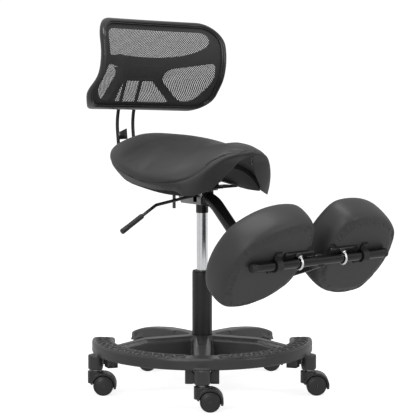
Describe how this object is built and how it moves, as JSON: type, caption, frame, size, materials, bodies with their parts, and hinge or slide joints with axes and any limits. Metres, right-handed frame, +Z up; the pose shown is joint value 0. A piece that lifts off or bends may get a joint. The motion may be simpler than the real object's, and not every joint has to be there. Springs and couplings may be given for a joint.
{
  "type": "saddle chair",
  "caption": "Rolling saddle chair with knee pads on a forward bar, a curved net back, a gas lift with a side lever and a half-ring footrest.",
  "frame": {"origin": "on the floor, under the middle of the gas lift", "axes": "+Z up along the gas lift, -Y the way the sitter faces, +X to the sitter's left"},
  "size_m": [0.602, 0.7859, 0.929],
  "materials": {
    "base_plastic": "matt moulded, light grain",
    "caster_plastic": "smooth moulded",
    "column_black": "satin black",
    "bush_plastic": "matt",
    "lift_steel": "ground",
    "chrome": "mirror",
    "rubber": "matt",
    "black_steel": "gloss black powder coat",
    "zinc": "zinc plated",
    "pan_board": "matt",
    "vinyl": "fine-grained dark grey upholstery vinyl",
    "board_cover": "thin black lining",
    "back_plastic": "satin moulded",
    "net": "open knitted net"
  },
  "bodies": {
    "base": {"five_arm_base": "base_plastic", "column_tube": "column_black", "guide_bush": "bush_plastic", "thrust_bearing": "lift_steel"},
    "lift_rod": {"piston_rod": "lift_steel", "piston": "lift_steel", "retaining_clip": "lift_steel", "bump_stop": "rubber"},
    "seat": {"pressure_tube": "chrome", "taper_socket": "black_steel", "lever_housing": "zinc", "seat_plate": "black_steel", "seat_bolts": "zinc", "seat_pan": "pan_board", "saddle_cushion": "vinyl", "knee_arm": "black_steel", "knee_bar": "black_steel", "knee_bar_caps": "bush_plastic", "back_clamp": "black_steel", "back_clamp_bolt": "zinc"},
    "lever": {"lever_rod": "black_steel", "lever_grip": "bush_plastic"},
    "button": {"release_button": "lift_steel"},
    "back": {"back_rods": "black_steel", "back_brace": "black_steel", "back_frame": "back_plastic", "back_rim": "back_plastic", "back_mesh": "net"},
    "left_knee": {"left_knee_board": "board_cover", "left_knee_cushion": "vinyl", "left_knee_hanger": "zinc", "left_knee_u_bolt": "chrome", "left_knee_strap": "bush_plastic"},
    "right_knee": {"right_knee_board": "board_cover", "right_knee_cushion": "vinyl", "right_knee_hanger": "zinc", "right_knee_u_bolt": "chrome", "right_knee_strap": "bush_plastic"},
    "caster_1": {"caster_1_hood": "caster_plastic", "caster_1_pins": "lift_steel"},
    "caster_1_a": {"caster_1_wheel_a": "caster_plastic"},
    "caster_1_b": {"caster_1_wheel_b": "caster_plastic"},
    "caster_2": {"caster_2_hood": "caster_plastic", "caster_2_pins": "lift_steel"},
    "caster_2_a": {"caster_2_wheel_a": "caster_plastic"},
    "caster_2_b": {"caster_2_wheel_b": "caster_plastic"},
    "caster_3": {"caster_3_hood": "caster_plastic", "caster_3_pins": "lift_steel"},
    "caster_3_a": {"caster_3_wheel_a": "caster_plastic"},
    "caster_3_b": {"caster_3_wheel_b": "caster_plastic"},
    "caster_4": {"caster_4_hood": "caster_plastic", "caster_4_pins": "lift_steel"},
    "caster_4_a": {"caster_4_wheel_a": "caster_plastic"},
    "caster_4_b": {"caster_4_wheel_b": "caster_plastic"},
    "caster_5": {"caster_5_hood": "caster_plastic", "caster_5_pins": "lift_steel"},
    "caster_5_a": {"caster_5_wheel_a": "caster_plastic"},
    "caster_5_b": {"caster_5_wheel_b": "caster_plastic"}
  },
  "joints": [
    {"name": "seat_swivel", "type": "hinge", "parent": "base", "child": "lift_rod", "pos_m": [0, 0, 0.2], "axis": [0, 0, 1], "continuous": true},
    {"name": "seat_height", "type": "slide", "parent": "lift_rod", "child": "seat", "axis": [0, 0, 1], "range_m": [-0.13, 0]},
    {"name": "lever_pull", "type": "hinge", "parent": "seat", "child": "lever", "pos_m": [-0.021, 0.003, 0.4891], "axis": [0, 1, 0], "range_deg": [0, 8]},
    {"name": "button_push", "type": "slide", "parent": "seat", "child": "button", "axis": [0, 0, -1], "range_m": [0, 0.0027]},
    {"name": "back_depth", "type": "slide", "parent": "seat", "child": "back", "axis": [0, 1, 0], "range_m": [-0.015, 0.03]},
    {"name": "left_knee_tilt", "type": "hinge", "parent": "seat", "child": "left_knee", "pos_m": [0, -0.429, 0.369], "axis": [1, 0, 0], "range_deg": [-12, 12]},
    {"name": "right_knee_tilt", "type": "hinge", "parent": "seat", "child": "right_knee", "pos_m": [0, -0.429, 0.369], "axis": [1, 0, 0], "range_deg": [-12, 12]},
    {"name": "caster_1_swivel", "type": "hinge", "parent": "base", "child": "caster_1", "pos_m": [-0.17805, -0.21219, 0.06], "axis": [0, 0, 1], "continuous": true},
    {"name": "caster_1_spin_a", "type": "hinge", "parent": "caster_1", "child": "caster_1_a", "pos_m": [-0.1635, -0.22441, 0.025], "axis": [0.6428, 0.766, 0], "continuous": true},
    {"name": "caster_1_spin_b", "type": "hinge", "parent": "caster_1", "child": "caster_1_b", "pos_m": [-0.1635, -0.22441, 0.025], "axis": [0.6428, 0.766, 0], "continuous": true},
    {"name": "caster_2_swivel", "type": "hinge", "parent": "base", "child": "caster_2", "pos_m": [0.14679, -0.23491, 0.06], "axis": [0, 0, 1], "continuous": true},
    {"name": "caster_2_spin_a", "type": "hinge", "parent": "caster_2", "child": "caster_2_a", "pos_m": [0.16134, -0.24712, 0.025], "axis": [0.6428, 0.766, 0], "continuous": true},
    {"name": "caster_2_spin_b", "type": "hinge", "parent": "caster_2", "child": "caster_2_b", "pos_m": [0.16134, -0.24712, 0.025], "axis": [0.6428, 0.766, 0], "continuous": true},
    {"name": "caster_3_swivel", "type": "hinge", "parent": "base", "child": "caster_3", "pos_m": [0.26877, 0.06701, 0.06], "axis": [0, 0, 1], "continuous": true},
    {"name": "caster_3_spin_a", "type": "hinge", "parent": "caster_3", "child": "caster_3_a", "pos_m": [0.28333, 0.0548, 0.025], "axis": [0.6428, 0.766, 0], "continuous": true},
    {"name": "caster_3_spin_b", "type": "hinge", "parent": "caster_3", "child": "caster_3_b", "pos_m": [0.28333, 0.0548, 0.025], "axis": [0.6428, 0.766, 0], "continuous": true},
    {"name": "caster_4_swivel", "type": "hinge", "parent": "base", "child": "caster_4", "pos_m": [0.01932, 0.27632, 0.06], "axis": [0, 0, 1], "continuous": true},
    {"name": "caster_4_spin_a", "type": "hinge", "parent": "caster_4", "child": "caster_4_a", "pos_m": [0.03388, 0.26411, 0.025], "axis": [0.6428, 0.766, 0], "continuous": true},
    {"name": "caster_4_spin_b", "type": "hinge", "parent": "caster_4", "child": "caster_4_b", "pos_m": [0.03388, 0.26411, 0.025], "axis": [0.6428, 0.766, 0], "continuous": true},
    {"name": "caster_5_swivel", "type": "hinge", "parent": "base", "child": "caster_5", "pos_m": [-0.25683, 0.10377, 0.06], "axis": [0, 0, 1], "continuous": true},
    {"name": "caster_5_spin_a", "type": "hinge", "parent": "caster_5", "child": "caster_5_a", "pos_m": [-0.24227, 0.09155, 0.025], "axis": [0.6428, 0.766, 0], "continuous": true},
    {"name": "caster_5_spin_b", "type": "hinge", "parent": "caster_5", "child": "caster_5_b", "pos_m": [-0.24227, 0.09155, 0.025], "axis": [0.6428, 0.766, 0], "continuous": true}
  ],
  "couplings": [
    {"joint": "button_push", "follows": "lever_pull", "m_per_rad": 0.0186}
  ]
}
